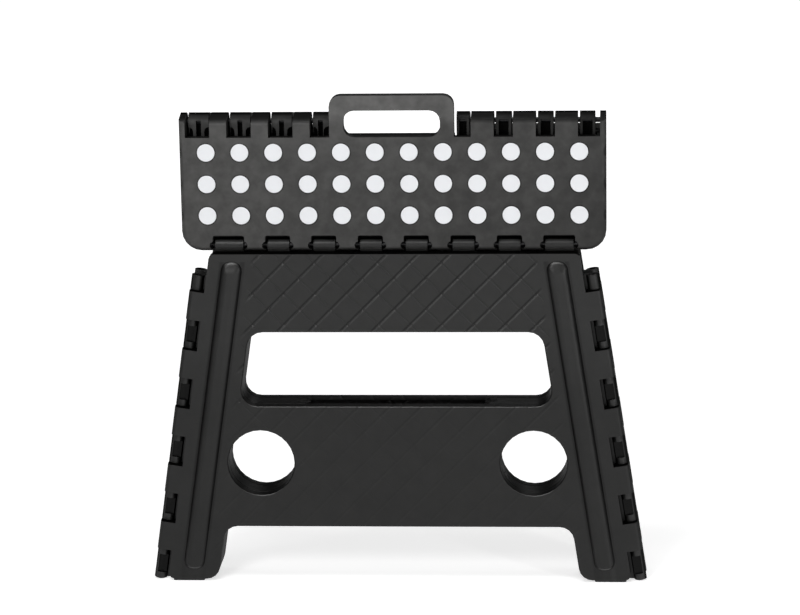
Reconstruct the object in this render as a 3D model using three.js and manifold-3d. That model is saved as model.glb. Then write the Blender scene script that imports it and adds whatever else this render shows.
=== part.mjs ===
// Folding step stool: two platform halves, two leg panels and four side halves, all moulded
// shells joined by pinned knuckles. It stands folded flat. Millimetres, +Z up, front face to -Y,
// origin on the floor under the middle of the folded stack.
import * as THREE from "three";
import { mergeVertices } from "three/addons/utils/BufferGeometryUtils.js";
import Module from "manifold-3d";

const wasm = await Module();
wasm.setup();

// ---- Folded stack, along Y ----
const FACE_Y = 22; // middle plane to each outer face
const HINGE_Y = 11; // middle plane to the leg-side and platform-leg axes
const LAYER_GAP = 0.3; // half the air between two neighbouring layers
const SKIN = 2.5; // moulded wall behind each visible face
const WALL = 2.5; // flanges round outlines and openings
const RIB = 1.8; // stiffening ribs

// ---- Linkage ----
const PLATFORM_AXIS_Z = 325.5; // platform-leg axis above the floor
const REACH = 114.5; // outer axis to middle axis, the same on platform halves and side halves
const CENTRE_AXIS_Z = PLATFORM_AXIS_Z + REACH;
const SLANT = 0.151; // lean of the side axes from the vertical, in radians

// ---- Leg panels ----
const FOOT_HALF_WIDTH = 235; // outer edge of the side hinges, at the floor
const PAD_HEIGHT = 2; // rubber pads under the feet
const LEG_TOP_Z = 318.2;
const PANEL_EDGE = 14.4; // from the outer edge of the side hinge in to the panel's own edge
const LEG_CORNER = 5;
const FOOT_INNER_X = 172.5; // inner edge of each foot, at the floor
const FOOT_CORNER = 13;
const ARCH_TOP_Z = 54.5; // underside of the lower crossbar
const ARCH_CORNER = 14;
const WINDOW_BOTTOM_Z = 172;
const WINDOW_TOP_Z = 243.3;
const WINDOW_HALF_WIDTH = 142.5; // at half the window's height
const WINDOW_CORNER = 15;
const HOLE_X = 128.5;
const HOLE_Z = 116.7;
const HOLE_RADIUS = 31.5;
const LIP_ROUND = 1.5; // round front edge of the window and holes
const BEAD_INSET = 37; // raised bead, from the outer edge to its middle line
const BEAD_WIDTH = 19.5;
const BEAD_HEIGHT = 2.6;
const BEAD_FLANK = 4; // width of each sloping side
const BEAD_CORNER = 8;
const BEAD_BOTTOM_Z = 12;
const BEAD_TOP_Z = 311;
const LATTICE_PITCH = 116; // crossed ribs behind the leg's face, measured along X

// ---- Leg-side hinges, measured along the slanted axis ----
const SIDE_BARREL = 6.1;
const SIDE_PIN = 2.5;
const SIDE_KNUCKLES = 6;
const SIDE_PITCH = 56.7;
const SIDE_FIRST = 2.9; // where the pattern starts
const SIDE_KNUCKLE = 28; // length of one side-half knuckle
const SIDE_LOW = 0.8; // lower end of the lowest knuckle
const SIDE_TOP = 300.3; // top edge of the side halves
const KNUCKLE_GAP = 0.7; // end play between neighbouring knuckles
const BOSS_LENGTH = 6.2; // solid ends of a side-half knuckle, with a pocket between
const POCKET_FLOOR = 0.6; // wall between that pocket and the pin's bore
const OUTER_WALL = 2.8; // wall outside that pocket
const FACE_ROUND = 4; // rounding of the leg knuckles' outer corner
const SIDE_FOOT_Z = 2.2; // lower edge of the side halves' panels
const KNUCKLE_FOOT_Z = 0.6; // their lowest knuckles are cut level with the floor here

// ---- Middle hinges of the side halves ----
const MID_BARREL = 5;
const MID_PIN = 2;
const MID_UPPER_COUNT = 3;
const MID_LOWER_COUNT = 5;

// ---- Platform ----
const PLATFORM_HALF_WIDTH = 197;
const PLATFORM_CORNER = 18.5;
const EDGE_DROP = 4.3; // platform's lower edge below its leg axis
const RAIL_RADIUS = 6.8; // round of the platform's hinge rail
const NOTCH_RISE = 10.6; // top of the notches round the leg barrels, above the axis
const NOTCH_ROUND = 2;
const NOTCH_SIDE = 1.7; // air between a leg barrel and the side of its notch
const NOTCH_CLEARANCE = 1.2; // air round a leg barrel behind that
const POCKET_RADIUS = 3.9; // round pockets beside the notches, where the pins show
const POCKET_SIDE = 0.9; // their middle beyond the end of the barrel
const POCKET_RISE = 1; // and above the axis
const RIM_ROUND = 4.8; // rolled edge of the platform's face
const BARREL_RADIUS = 6.1;
const LEG_PIN = 2.75;
const PIN_SEAT = 3.6; // depth of each pin in the platform
const PLATFORM_RIB_COLUMNS = 4; // bays between the upright ribs
const LEG_BARRELS = [
  { x: 21.3, width: 20.1 },
  { x: 64.7, width: 20.1 },
  { x: 107.5, width: 20.1 },
  { x: 153.4, width: 26.1 },
];
const ARM_SEAT = 1.2; // where an arm leaves its barrel, below the front, in radians
const ARM_BLEND = 4; // arms start this far below the leg's top edge

// ---- Centre hinge and handle ----
const TIP = 8.5; // finger tips beyond the centre axis
const FINGER_ROOT = 11.7; // roots of the notches short of the centre axis
const SHOULDER_RISE = 4; // outer corner of a finger above the centre axis
const SHOULDER_ROUND = 5;
const SWEEP_GAP = 0.7; // air round the webs of the other half as they turn
const FINGER_PITCH = 38.6;
// Widths of the full fingers. Each half has wide ones on its own right and narrow ones on its left.
const FRONT_FINGERS = { wide: 21, narrow: 15.8 };
const BACK_FINGERS = { wide: 19, narrow: 14.2 };
const OUTER_FINGER_X = 160.5; // outermost full finger of the front half
const FINGER_COUNT = 3;
const END_FINGER = 5.8; // the front half's end fingers, flush with its sides
const FINGER_SLOT = 4.6; // slot between the two webs of a wide finger
const FINGER_WEB = 2.5; // webs at the sides of a narrow one
const WEB_DEPTH = 10; // depth of the slots and pockets
const BACK_ROOT = 7; // skin of the back half's notches short of the centre axis
const SLOT_RISE = 2; // top of that slot above the centre axis
const FINGER_POCKET = 4.3; // width and corner round of the pockets outside the webs
const POCKET_DROP = 4; // top of those pockets below the centre axis
const CENTRE_PIN = 2.5;
const HANDLE_HALF_WIDTH = 57.5;
const HANDLE_HALF_OPENING = 44.6;
const HANDLE_TOP = 27; // above the centre axis
const HANDLE_BAR = 14;
const HANDLE_DEPTH = 12;
const HANDLE_CORNER = 10;
const HANDLE_CLEARANCE = 1.5; // round the handle in the back half's cut-out

const PIN_CLEARANCE = 0.3;
const PIN_SIDES = 8; // facets of pins and their bores
const BARREL_SIDES = 10; // facets of hinge barrels
const FINGER_SIDES = 12; // facets of the centre hinge's larger barrels
const HOLE_SIDES = 24; // facets of the widest rounds
const CHORD = 0.25; // largest gap between a facet and its arc
const EDGE_STEPS = 3; // facets across a rolled edge
const MERGE = 0.002; // flat facets that meet within this distance become one
const THROUGH = 60; // longer than any wall that a cutter passes through

const LEG_BACK_Y = -HINGE_Y - LAYER_GAP;
const SIDE_FACE_Y = -HINGE_Y + LAYER_GAP;
const INNER_Y = -LAYER_GAP;
const PLATFORM_EDGE_Z = PLATFORM_AXIS_Z - EDGE_DROP;
const NOTCH_TOP_Z = PLATFORM_AXIS_Z + NOTCH_RISE;
const FINGER_ROOT_Z = CENTRE_AXIS_Z - FINGER_ROOT;
const SIN = Math.sin(SLANT);
const COS = Math.cos(SLANT);
const TAN = Math.tan(SLANT);

// ---- Solids from three.js shapes ----
function solidOf(geometry) {
  geometry.deleteAttribute("normal");
  geometry.deleteAttribute("uv");
  const merged = mergeVertices(geometry, 1e-5);
  return new wasm.Manifold(
    new wasm.Mesh({
      numProp: 3,
      vertProperties: new Float32Array(merged.attributes.position.array),
      triVerts: new Uint32Array(merged.index.array),
    }),
  );
}

function geometryOf(solid) {
  const mesh = solid.asOriginal().simplify(MERGE).getMesh();
  const geometry = new THREE.BufferGeometry();
  geometry.setAttribute("position", new THREE.BufferAttribute(mesh.vertProperties, 3));
  geometry.setIndex(new THREE.BufferAttribute(mesh.triVerts, 1));
  geometry.computeVertexNormals();
  return geometry;
}

const joinAll = (solids) => solids.reduce((a, b) => a.add(b));

// A closed outline of [x, z, corner radius], counter-clockwise, as a shape with round corners.
function rounded(corners) {
  const shape = new THREE.Shape();
  corners.forEach(([x, z, radius], i) => {
    const before = corners[(i + corners.length - 1) % corners.length];
    const after = corners[(i + 1) % corners.length];
    const point = new THREE.Vector2(x, z);
    const into = point.clone().sub(new THREE.Vector2(before[0], before[1])).normalize();
    const out = new THREE.Vector2(after[0], after[1]).sub(point).normalize();
    const turn = Math.atan2(into.cross(out), into.dot(out));
    const step = radius > CHORD ? 2 * Math.acos(1 - CHORD / radius) : Math.PI;
    const steps = radius > 0 ? Math.ceil(Math.abs(turn) / step) : 0;
    const tangent = radius * Math.tan(Math.abs(turn) / 2);
    const start = point.clone().addScaledVector(into, -tangent);
    const side = Math.sign(turn);
    const centre = start.clone().add(new THREE.Vector2(-into.y, into.x).multiplyScalar(side * radius));
    for (let k = 0; k <= steps; k++) {
      const spoke = start.clone().sub(centre);
      if (steps > 0) spoke.rotateAround(new THREE.Vector2(), (turn * k) / steps);
      const at = steps > 0 ? centre.clone().add(spoke) : point;
      if (i === 0 && k === 0) shape.moveTo(at.x, at.y);
      else shape.lineTo(at.x, at.y);
    }
  });
  return shape;
}

// Every side of an outline moved inwards, with concentric corners. A negative distance moves out.
function inset(corners, distance) {
  return corners.map(([x, z, radius], i) => {
    const before = corners[(i + corners.length - 1) % corners.length];
    const after = corners[(i + 1) % corners.length];
    const into = new THREE.Vector2(x - before[0], z - before[1]).normalize();
    const out = new THREE.Vector2(after[0] - x, after[1] - z).normalize();
    const shift = distance / (1 + into.dot(out));
    const convex = into.cross(out) > 0;
    return [
      x - shift * (into.y + out.y),
      z + shift * (into.x + out.x),
      Math.max(0, radius + (convex ? -distance : distance)),
    ];
  });
}

// A shape in X and Z, from one Y to another.
function plate(corners, yFront, yBack) {
  const geometry = new THREE.ExtrudeGeometry(rounded(corners), {
    depth: yBack - yFront,
    bevelEnabled: false,
  });
  geometry.rotateX(Math.PI / 2);
  geometry.translate(0, yBack, 0);
  return solidOf(geometry);
}

// The same with its front edge rolled over by a width and depth, or with a flared
// mouth where the width is negative, as the cutter of a round-edged opening needs.
function rolledPlate(corners, yFront, yBack, width, depth) {
  const geometry = new THREE.ExtrudeGeometry(rounded(corners), {
    depth: yBack - yFront,
    bevelThickness: depth,
    bevelSize: width,
    bevelOffset: -width,
    bevelSegments: EDGE_STEPS,
  });
  geometry.rotateX(Math.PI / 2);
  geometry.translate(0, yBack + depth, 0);
  const reach = 2 * FOOT_HALF_WIDTH;
  return solidOf(geometry).subtract(block(-reach, reach, yBack, yBack + reach, -reach, reach * 2));
}

// A shape in Y and Z, from one X to another.
function bar(corners, xFrom, xTo) {
  const geometry = new THREE.ExtrudeGeometry(rounded(corners), {
    depth: xTo - xFrom,
    bevelEnabled: false,
  });
  const axes = new THREE.Matrix4().makeBasis(
    new THREE.Vector3(0, 1, 0),
    new THREE.Vector3(0, 0, 1),
    new THREE.Vector3(1, 0, 0),
  );
  geometry.applyMatrix4(axes);
  geometry.translate(xFrom, 0, 0);
  return solidOf(geometry);
}

function block(xFrom, xTo, yFrom, yTo, zFrom, zTo) {
  const geometry = new THREE.BoxGeometry(xTo - xFrom, yTo - yFrom, zTo - zFrom);
  geometry.translate((xFrom + xTo) / 2, (yFrom + yTo) / 2, (zFrom + zTo) / 2);
  return solidOf(geometry);
}

// A round bar between two points, whose flats touch the radius where it is a bore.
function rod(from, to, radius, sides = BARREL_SIDES, bore = false) {
  const along = to.clone().sub(from);
  const outer = bore ? radius / Math.cos(Math.PI / sides) : radius;
  const geometry = new THREE.CylinderGeometry(outer, outer, along.length(), sides);
  const turn = new THREE.Quaternion().setFromUnitVectors(
    new THREE.Vector3(0, 1, 0),
    along.clone().normalize(),
  );
  geometry.applyQuaternion(turn);
  const middle = from.clone().add(to).multiplyScalar(0.5);
  geometry.translate(middle.x, middle.y, middle.z);
  return solidOf(geometry);
}

const point = (x, y, z) => new THREE.Vector3(x, y, z);

// ---- The slanted side hinge: along its axis from the floor, and out from it ----
const AXIS_FOOT_X = FOOT_HALF_WIDTH - SIDE_BARREL / COS;

// X of the line that runs parallel to the axis, out from it by a distance, at a height.
const slantX = (out, z) => AXIS_FOOT_X + out / COS - z * TAN;

const outerEdge = (inward, z) => slantX(SIDE_BARREL - inward, z);

// The point at a length along the axis and a distance out from it.
const hingePoint = (along, out, y) =>
  point(AXIS_FOOT_X - along * SIN + out * COS, y, along * COS + out * SIN);

// A shape in the distance out from the axis and Y, swept along the axis.
function swept(corners, from, to) {
  const geometry = new THREE.ExtrudeGeometry(rounded(corners), {
    depth: to - from,
    bevelEnabled: false,
  });
  const axes = new THREE.Matrix4().makeBasis(
    new THREE.Vector3(COS, 0, SIN),
    new THREE.Vector3(0, -1, 0),
    new THREE.Vector3(-SIN, 0, COS).negate(),
  );
  geometry.scale(1, -1, 1);
  flipFaces(geometry);
  geometry.applyMatrix4(axes);
  const end = hingePoint(to, 0, 0);
  geometry.translate(end.x, end.y, end.z);
  return solidOf(geometry);
}

// Turns each face round after a mirror.
function flipFaces(geometry) {
  const place = geometry.attributes.position;
  for (let i = 0; i < place.count; i += 3) {
    const a = new THREE.Vector3().fromBufferAttribute(place, i + 1);
    const b = new THREE.Vector3().fromBufferAttribute(place, i + 2);
    place.setXYZ(i + 1, b.x, b.y, b.z);
    place.setXYZ(i + 2, a.x, a.y, a.z);
  }
}

const mirrored = (solid) => solid.mirror([1, 0, 0]);

const bothSides = (solid) => solid.add(mirrored(solid));

// ---- Leg panel ----
const legOutline = () => [
  [-outerEdge(PANEL_EDGE, PAD_HEIGHT), PAD_HEIGHT, LEG_CORNER],
  [-footInner(PAD_HEIGHT), PAD_HEIGHT, FOOT_CORNER],
  [-footInner(ARCH_TOP_Z), ARCH_TOP_Z, ARCH_CORNER],
  [footInner(ARCH_TOP_Z), ARCH_TOP_Z, ARCH_CORNER],
  [footInner(PAD_HEIGHT), PAD_HEIGHT, FOOT_CORNER],
  [outerEdge(PANEL_EDGE, PAD_HEIGHT), PAD_HEIGHT, LEG_CORNER],
  [outerEdge(PANEL_EDGE, LEG_TOP_Z), LEG_TOP_Z, LEG_CORNER],
  [-outerEdge(PANEL_EDGE, LEG_TOP_Z), LEG_TOP_Z, LEG_CORNER],
];

const holeOutline = () => [
  [HOLE_X - HOLE_RADIUS, HOLE_Z - HOLE_RADIUS, HOLE_RADIUS],
  [HOLE_X + HOLE_RADIUS, HOLE_Z - HOLE_RADIUS, HOLE_RADIUS],
  [HOLE_X + HOLE_RADIUS, HOLE_Z + HOLE_RADIUS, HOLE_RADIUS],
  [HOLE_X - HOLE_RADIUS, HOLE_Z + HOLE_RADIUS, HOLE_RADIUS],
];

const footInner = (z) => FOOT_INNER_X - z * TAN;

const windowEdge = (z) => WINDOW_HALF_WIDTH + ((WINDOW_BOTTOM_Z + WINDOW_TOP_Z) / 2 - z) * TAN;

const windowOutline = () => [
  [-windowEdge(WINDOW_BOTTOM_Z), WINDOW_BOTTOM_Z, WINDOW_CORNER],
  [windowEdge(WINDOW_BOTTOM_Z), WINDOW_BOTTOM_Z, WINDOW_CORNER],
  [windowEdge(WINDOW_TOP_Z), WINDOW_TOP_Z, WINDOW_CORNER],
  [-windowEdge(WINDOW_TOP_Z), WINDOW_TOP_Z, WINDOW_CORNER],
];

// The window and the two holes, cut through with round front edges at a face.
function openings(face) {
  const cutter = (outline) => rolledPlate(outline, face, THROUGH, -LIP_ROUND, LIP_ROUND);
  return cutter(windowOutline()).add(bothSides(cutter(holeOutline())));
}

// Crossed ribs at 45 degrees, as wide as the leg panel.
function lattice(yFrom, yTo) {
  const ribs = [];
  const reach = FOOT_HALF_WIDTH + LEG_TOP_Z;
  const count = Math.floor(reach / LATTICE_PITCH / Math.SQRT2);
  for (let i = -count; i <= count; i++) {
    const geometry = new THREE.BoxGeometry(RIB, yTo - yFrom, 2 * reach);
    geometry.rotateY(Math.PI / 4);
    geometry.translate(i * LATTICE_PITCH, (yFrom + yTo) / 2, LEG_TOP_Z / 2);
    ribs.push(solidOf(geometry));
  }
  return bothSides(joinAll(ribs));
}

// The long raised bead beside a slanted edge.
function bead() {
  const side = (inward, z) => [outerEdge(inward, z), z, BEAD_CORNER];
  const outer = BEAD_INSET - BEAD_WIDTH / 2;
  const inner = BEAD_INSET + BEAD_WIDTH / 2;
  const outline = [
    side(inner, BEAD_BOTTOM_Z),
    side(outer, BEAD_BOTTOM_Z),
    side(outer, BEAD_TOP_Z),
    side(inner, BEAD_TOP_Z),
  ];
  return rolledPlate(outline, -FACE_Y - BEAD_HEIGHT, -FACE_Y + SKIN, BEAD_FLANK, BEAD_HEIGHT);
}

// A leg's own hinge knuckle: flush with the face in front and round behind the axis.
function legKnuckle(from, to) {
  const root = -(PANEL_EDGE - SIDE_BARREL) - WALL;
  const front = [
    [root, -FACE_Y, 0],
    [SIDE_BARREL, -FACE_Y, FACE_ROUND],
    [SIDE_BARREL, -HINGE_Y, 0],
    [root, -HINGE_Y - LAYER_GAP, 0],
  ];
  const barrel = rod(hingePoint(from, 0, -HINGE_Y), hingePoint(to, 0, -HINGE_Y), SIDE_BARREL);
  return swept(front, from, to).add(barrel);
}

const sideKnuckleStart = (i) => (i === 0 ? SIDE_LOW : SIDE_FIRST + i * SIDE_PITCH);

const sideKnuckleEnd = (i) => Math.min(SIDE_TOP, SIDE_FIRST + i * SIDE_PITCH + SIDE_KNUCKLE);

function sideBore(radius) {
  return rod(
    hingePoint(-THROUGH, 0, -HINGE_Y),
    hingePoint(SIDE_TOP + THROUGH, 0, -HINGE_Y),
    radius,
    PIN_SIDES,
    true,
  );
}

// A barrel on the leg's top edge, on an arm that rises from the panel.
function legBarrel({ x, width }) {
  const back = BARREL_RADIUS * Math.SQRT1_2;
  const seatY = -HINGE_Y - BARREL_RADIUS * Math.cos(ARM_SEAT);
  const seatZ = PLATFORM_AXIS_Z - BARREL_RADIUS * Math.sin(ARM_SEAT);
  const arm = bar(
    [
      [-FACE_Y, LEG_TOP_Z - ARM_BLEND, 0],
      [LEG_BACK_Y, LEG_TOP_Z - ARM_BLEND, 0],
      [LEG_BACK_Y, PLATFORM_AXIS_Z - BARREL_RADIUS - NOTCH_CLEARANCE, 0],
      [-HINGE_Y + back, PLATFORM_AXIS_Z - back, 0],
      [-HINGE_Y, PLATFORM_AXIS_Z, 0],
      [seatY, seatZ, 0],
    ],
    x - width / 2,
    x + width / 2,
  );
  const barrel = rod(
    point(x - width / 2, -HINGE_Y, PLATFORM_AXIS_Z),
    point(x + width / 2, -HINGE_Y, PLATFORM_AXIS_Z),
    BARREL_RADIUS,
  );
  return arm.add(barrel);
}

function legBarrelBore({ x, width }) {
  return rod(
    point(x - width, -HINGE_Y, PLATFORM_AXIS_Z),
    point(x + width, -HINGE_Y, PLATFORM_AXIS_Z),
    LEG_PIN + PIN_CLEARANCE,
    PIN_SIDES,
    true,
  );
}

function legShell() {
  const outline = legOutline();
  const opening = windowOutline();
  const hollow = plate(inset(outline, WALL), -FACE_Y + SKIN, LEG_BACK_Y + WALL)
    .subtract(plate(inset(opening, -WALL), -FACE_Y, FACE_Y))
    .subtract(bothSides(plate(inset(holeOutline(), -WALL), -FACE_Y, FACE_Y)))
    .subtract(lattice(-FACE_Y, LEG_BACK_Y - RIB));
  const knuckles = [];
  for (let i = 0; i < SIDE_KNUCKLES - 1; i++)
    knuckles.push(legKnuckle(sideKnuckleEnd(i) + KNUCKLE_GAP, sideKnuckleStart(i + 1) - KNUCKLE_GAP));
  return plate(outline, -FACE_Y, LEG_BACK_Y)
    .subtract(hollow)
    .add(bothSides(bead()))
    .subtract(openings(-FACE_Y))
    .add(bothSides(joinAll([...knuckles, ...LEG_BARRELS.map(legBarrel)])))
    .subtract(bothSides(sideBore(SIDE_PIN + PIN_CLEARANCE)))
    .subtract(bothSides(joinAll(LEG_BARRELS.map(legBarrelBore))));
}

// ---- Side half, on the +X side in front ----
const MID_EDGE = -REACH + LAYER_GAP;
const SIDE_EDGE = -(PANEL_EDGE - SIDE_BARREL);

function sideOutline() {
  const topInner = hingePoint(SIDE_TOP, MID_EDGE, 0);
  const topOuter = hingePoint(SIDE_TOP, SIDE_EDGE, 0);
  return [
    [footInner(SIDE_FOOT_Z), SIDE_FOOT_Z, FOOT_CORNER],
    [slantX(SIDE_EDGE, SIDE_FOOT_Z), SIDE_FOOT_Z, 0],
    [topOuter.x, topOuter.z, 0],
    [topInner.x, topInner.z, 0],
    [slantX(MID_EDGE, WINDOW_TOP_Z), WINDOW_TOP_Z, 0],
    [windowEdge(WINDOW_TOP_Z), WINDOW_TOP_Z, WINDOW_CORNER],
    [windowEdge(WINDOW_BOTTOM_Z), WINDOW_BOTTOM_Z, WINDOW_CORNER],
    [slantX(MID_EDGE, WINDOW_BOTTOM_Z), WINDOW_BOTTOM_Z, 0],
    [slantX(MID_EDGE, ARCH_TOP_Z), ARCH_TOP_Z, 0],
    [footInner(ARCH_TOP_Z), ARCH_TOP_Z, ARCH_CORNER],
  ];
}

// A side half's knuckle on the leg: two bosses joined by a wall outside and a web behind.
// The short one at the top has no pocket.
function sideKnuckle(from, to) {
  const web = swept(
    [
      [SIDE_EDGE - WALL, SIDE_FACE_Y, 0],
      [0, SIDE_FACE_Y, 0],
      [0, -HINGE_Y + SIDE_BARREL, 0],
      [SIDE_EDGE - WALL, -HINGE_Y + SIDE_BARREL, 0],
    ],
    from,
    to,
  );
  const barrel = rod(hingePoint(from, 0, -HINGE_Y), hingePoint(to, 0, -HINGE_Y), SIDE_BARREL);
  if (to - from < 2 * BOSS_LENGTH + WALL) return barrel.add(web);
  const floor = -HINGE_Y - SIDE_PIN - PIN_CLEARANCE - POCKET_FLOOR;
  const pocket = swept(
    [
      [-SIDE_BARREL - 1, -FACE_Y, 0],
      [SIDE_BARREL - OUTER_WALL, -FACE_Y, 0],
      [SIDE_BARREL - OUTER_WALL, floor, 0],
      [-SIDE_BARREL - 1, floor, 0],
    ],
    from + BOSS_LENGTH,
    to - BOSS_LENGTH,
  );
  return barrel.add(web).subtract(pocket);
}

// The two runs of middle-hinge knuckles, above and below the window, along the axis.
function midRuns() {
  const alongAt = (z) => (z + REACH * SIN) / COS;
  return [
    { from: alongAt(WINDOW_TOP_Z), to: SIDE_TOP, count: MID_UPPER_COUNT },
    { from: alongAt(ARCH_TOP_Z), to: alongAt(WINDOW_BOTTOM_Z), count: MID_LOWER_COUNT },
  ];
}

// One half's knuckles on the middle axis: every second place, starting from the given one.
function midKnuckles(first) {
  const knuckles = [];
  midRuns().forEach(({ from, to, count }) => {
    const length = (to - from) / count;
    for (let i = first; i < count; i += 2) {
      const start = from + i * length + KNUCKLE_GAP / 2;
      const end = from + (i + 1) * length - KNUCKLE_GAP / 2;
      const link = swept(
        [
          [-REACH, -MID_BARREL, 0],
          [-REACH + MID_BARREL + WALL, -MID_BARREL, 0],
          [-REACH + MID_BARREL + WALL, INNER_Y, 0],
          [-REACH, INNER_Y, 0],
        ],
        start,
        end,
      );
      knuckles.push(link.add(rod(hingePoint(start, -REACH, 0), hingePoint(end, -REACH, 0), MID_BARREL)));
    }
  });
  return joinAll(knuckles);
}

// A cylinder on the middle axis, as long as the whole side half.
function midLine(radius, bore) {
  return rod(
    hingePoint(0, -REACH, 0),
    hingePoint(SIDE_TOP + THROUGH, -REACH, 0),
    radius,
    BARREL_SIDES,
    bore,
  );
}

// A cylinder on the middle axis through each run of knuckles.
function midBar(radius, extra, bore) {
  return midRuns().map(({ from, to }) =>
    rod(
      hingePoint(from - extra, -REACH, 0),
      hingePoint(to + extra, -REACH, 0),
      radius,
      PIN_SIDES,
      bore,
    ),
  );
}

function sideShell(firstMidKnuckle) {
  const outline = sideOutline();
  const hollow = plate(inset(outline, WALL), SIDE_FACE_Y - WALL, INNER_Y - SKIN)
    .subtract(plate(inset(holeOutline(), -WALL), -FACE_Y, FACE_Y))
    .subtract(midLine(MID_BARREL + KNUCKLE_GAP + WALL, false));
  const groove = midLine(MID_BARREL + KNUCKLE_GAP, true);
  const knuckles = [];
  for (let i = 0; i < SIDE_KNUCKLES; i++)
    knuckles.push(sideKnuckle(sideKnuckleStart(i), sideKnuckleEnd(i)));
  return plate(outline, SIDE_FACE_Y, INNER_Y)
    .subtract(openings(SIDE_FACE_Y))
    .subtract(hollow)
    .subtract(groove)
    .add(joinAll(knuckles))
    .add(midKnuckles(firstMidKnuckle))
    .subtract(block(0, 2 * FOOT_HALF_WIDTH, -THROUGH, THROUGH, -THROUGH, KNUCKLE_FOOT_Z))
    .subtract(plate(holeOutline(), -THROUGH, THROUGH))
    .subtract(sideBore(SIDE_PIN + PIN_CLEARANCE))
    .subtract(joinAll(midBar(MID_PIN + PIN_CLEARANCE, THROUGH / 10, true)));
}

// ---- Platform halves ----
const platformOutline = (top) => [
  [-PLATFORM_HALF_WIDTH, PLATFORM_EDGE_Z, PLATFORM_CORNER],
  [PLATFORM_HALF_WIDTH, PLATFORM_EDGE_Z, PLATFORM_CORNER],
  [PLATFORM_HALF_WIDTH, top, 0],
  [-PLATFORM_HALF_WIDTH, top, 0],
];

// All that a half may fill: its outline with the rolled edge, taller than the handle.
const platformEnvelope = () =>
  rolledPlate(platformOutline(2 * CENTRE_AXIS_Z), -FACE_Y, FACE_Y, RIM_ROUND, RIM_ROUND);

// One interleaved finger: a hook round the centre axis with two webs that stand in the other
// half's notch. Wide ones have a slot between the webs and a round-topped pocket outside each,
// and narrow ones have webs at their sides.
function finger([from, to], wide) {
  const profile = [
    [-FACE_Y, FINGER_ROOT_Z - WALL, 0],
    [TIP, FINGER_ROOT_Z - WALL, 0],
    [TIP, CENTRE_AXIS_Z, 0],
    [0, CENTRE_AXIS_Z + TIP, 0],
    [-FACE_Y, CENTRE_AXIS_Z + SHOULDER_RISE, SHOULDER_ROUND],
  ];
  const body = bar(profile, from, to).add(
    rod(point(from, 0, CENTRE_AXIS_Z), point(to, 0, CENTRE_AXIS_Z), TIP, FINGER_SIDES),
  );
  if (to - from < 2 * FINGER_POCKET) return body;
  const middle = (from + to) / 2;
  const cut = (xFrom, xTo, top, radius) =>
    plate(
      [
        [xFrom, FINGER_ROOT_Z - WALL, 0],
        [xTo, FINGER_ROOT_Z - WALL, 0],
        [xTo, top, radius],
        [xFrom, top, 0],
      ],
      TIP - WEB_DEPTH,
      FACE_Y,
    );
  const halfSlot = wide ? FINGER_SLOT / 2 : (to - from) / 2 - FINGER_WEB;
  const slot = cut(middle - halfSlot, middle + halfSlot, CENTRE_AXIS_Z + SLOT_RISE, 0);
  if (!wide) return body.subtract(slot);
  const pocket = cut(from - SKIN, from + FINGER_POCKET, CENTRE_AXIS_Z - POCKET_DROP, FINGER_POCKET);
  const otherPocket = pocket.translate([-middle, 0, 0]).mirror([1, 0, 0]).translate([middle, 0, 0]);
  return body.subtract(joinAll([slot, pocket, otherPocket]));
}

const fingerGap = (front, back) => (FINGER_PITCH - front - back) / 2;

// Where each half's fingers are along X on one side, from their widths on that side.
function frontSpans(front) {
  const spans = [];
  for (let i = 0; i < FINGER_COUNT; i++) {
    const x = OUTER_FINGER_X - i * FINGER_PITCH;
    spans.push([x - front / 2, x + front / 2]);
  }
  spans.push([PLATFORM_HALF_WIDTH - END_FINGER, PLATFORM_HALF_WIDTH]);
  return spans;
}

function backSpans(front, back) {
  const spans = [];
  for (let i = 0; i < FINGER_COUNT; i++) {
    const x = OUTER_FINGER_X + FINGER_PITCH / 2 - i * FINGER_PITCH;
    spans.push([x - back / 2, x + back / 2]);
  }
  const gap = fingerGap(front, back);
  const innermost = OUTER_FINGER_X - (FINGER_COUNT - 1) * FINGER_PITCH - front / 2;
  spans.push([HANDLE_HALF_WIDTH + gap, innermost - gap]);
  return spans;
}

// One side of a half: its fingers, and the room for the other half's.
function fingerSide(own, others, wide, gap) {
  return {
    fingers: joinAll(own.map((span) => finger(span, wide))),
    room: joinAll(others.map((span) => sweepRoom(span, gap))),
  };
}

// Adds a half's fingers to its panel, wide ones at +X and narrow ones mirrored to -X.
function withFingers(panel, right, left) {
  return panel
    .subtract(right.room)
    .subtract(mirrored(left.room))
    .add(right.fingers)
    .add(mirrored(left.fingers));
}

// The room that one half leaves behind its skin for the other half's turning webs.
function sweepRoom([from, to], gap) {
  const radius = Math.hypot(TIP, FINGER_ROOT + WALL) + SWEEP_GAP;
  return rod(
    point(from - gap, 0, CENTRE_AXIS_Z),
    point(Math.min(to + gap, PLATFORM_HALF_WIDTH + 1), 0, CENTRE_AXIS_Z),
    radius,
    HOLE_SIDES,
    true,
  ).intersect(block(0, FOOT_HALF_WIDTH, -FACE_Y + SKIN, FACE_Y, 0, 2 * CENTRE_AXIS_Z));
}

function handle() {
  const top = CENTRE_AXIS_Z + HANDLE_TOP;
  const tab = [
    [-HANDLE_HALF_WIDTH, FINGER_ROOT_Z - WALL, 0],
    [HANDLE_HALF_WIDTH, FINGER_ROOT_Z - WALL, 0],
    [HANDLE_HALF_WIDTH, top, HANDLE_CORNER],
    [-HANDLE_HALF_WIDTH, top, HANDLE_CORNER],
  ];
  const opening = [
    [-HANDLE_HALF_OPENING, FINGER_ROOT_Z, HANDLE_CORNER],
    [HANDLE_HALF_OPENING, FINGER_ROOT_Z, HANDLE_CORNER],
    [HANDLE_HALF_OPENING, top - HANDLE_BAR, HANDLE_CORNER],
    [-HANDLE_HALF_OPENING, top - HANDLE_BAR, HANDLE_CORNER],
  ];
  return plate(tab, -FACE_Y, -FACE_Y + HANDLE_DEPTH).subtract(plate(opening, -THROUGH, THROUGH));
}

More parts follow.
